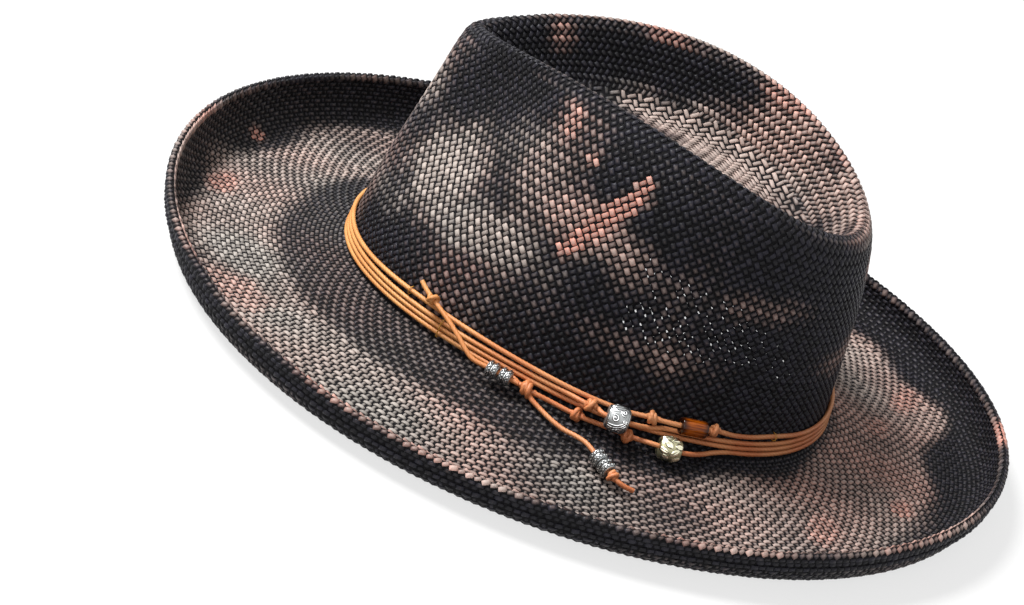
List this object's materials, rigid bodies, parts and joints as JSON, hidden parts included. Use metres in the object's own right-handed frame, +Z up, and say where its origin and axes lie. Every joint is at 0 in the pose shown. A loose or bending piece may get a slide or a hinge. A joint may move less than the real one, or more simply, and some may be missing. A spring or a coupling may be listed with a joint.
{
  "type": "cowboy hat",
  "caption": "Woven straw western hat with a pinched teardrop crown, pencil-rolled brim, knotted cord band with metal and glass beads, and a sweatband.",
  "frame": {"origin": "middle of the hat's outline, on the flat underside of the brim that it rests on", "axes": "+Y towards the back of the hat, +X towards the wearer's left, +Z up through the crown"},
  "size_m": [0.348, 0.3632, 0.1191],
  "materials": {
    "straw": "woven paper straw, near-black with dusty pink faded patches",
    "cord": "tan waxed cotton cord",
    "silver": "antique silver, darkened in the grooves",
    "pale_gold": "pale gold over silver",
    "amber": "dark amber glass",
    "wire": "drawn wire",
    "sweatband": "black ribbed woven band",
    "reed": "extruded reed",
    "thread": "ochre sewing thread"
  },
  "bodies": {
    "hat": {"straw_body": "straw", "brim_wire": "wire", "sweatband": "sweatband", "sweatband_reed": "reed", "band_cord_1": "cord", "band_cord_2": "cord", "band_cord_3": "cord", "band_cord_4": "cord", "knot_1": "cord", "knot_2": "cord", "knot_3": "cord", "knot_4": "cord", "knot_5": "cord", "knot_6": "cord", "loose_end_cord": "cord", "tail_cord": "cord", "loose_end_knot": "cord", "tail_knot": "cord", "thread_tack_1": "thread", "thread_tack_2": "thread", "thread_tack_3": "thread"},
    "slider_1": {"slider_bead_1": "silver"},
    "slider_2": {"slider_bead_2": "silver"},
    "tail_1": {"tail_bead_1": "silver"},
    "tail_2": {"tail_bead_2": "silver"},
    "scroll": {"scroll_bead": "silver"},
    "leaf": {"leaf_bead": "pale_gold"},
    "amber": {"amber_bead": "amber"}
  },
  "joints": [
    {"name": "slider_slide_1", "type": "slide", "parent": "hat", "child": "slider_1", "axis": [-0.0351, -0.9992, 0.0175], "range_m": [0, 0.005]},
    {"name": "slider_slide_2", "type": "slide", "parent": "hat", "child": "slider_2", "axis": [-0.0351, -0.9992, 0.0175], "range_m": [0, 0.005]},
    {"name": "tail_slide_1", "type": "slide", "parent": "hat", "child": "tail_1", "axis": [-0.488, -0.8588, 0.1561], "range_m": [0, 0.005]},
    {"name": "tail_slide_2", "type": "slide", "parent": "hat", "child": "tail_2", "axis": [-0.488, -0.8588, 0.1561], "range_m": [0, 0.005]},
    {"name": "scroll_spin", "type": "hinge", "parent": "hat", "child": "scroll", "pos_m": [0.08878, 0.04124, 0.01911], "axis": [-0.2805, 0.9598, -0.0116], "continuous": true},
    {"name": "leaf_spin", "type": "hinge", "parent": "hat", "child": "leaf", "pos_m": [0.08088, 0.06281, 0.01339], "axis": [-0.3984, 0.9168, -0.0263], "continuous": true},
    {"name": "amber_spin", "type": "hinge", "parent": "hat", "child": "amber", "pos_m": [0.07138, 0.06693, 0.02109], "axis": [-0.5469, 0.8371, -0.0162], "continuous": true}
  ],
  "couplings": [
    {"joint": "slider_slide_2", "follows": "slider_slide_1", "ratio": 1},
    {"joint": "tail_slide_2", "follows": "tail_slide_1", "ratio": 1}
  ]
}
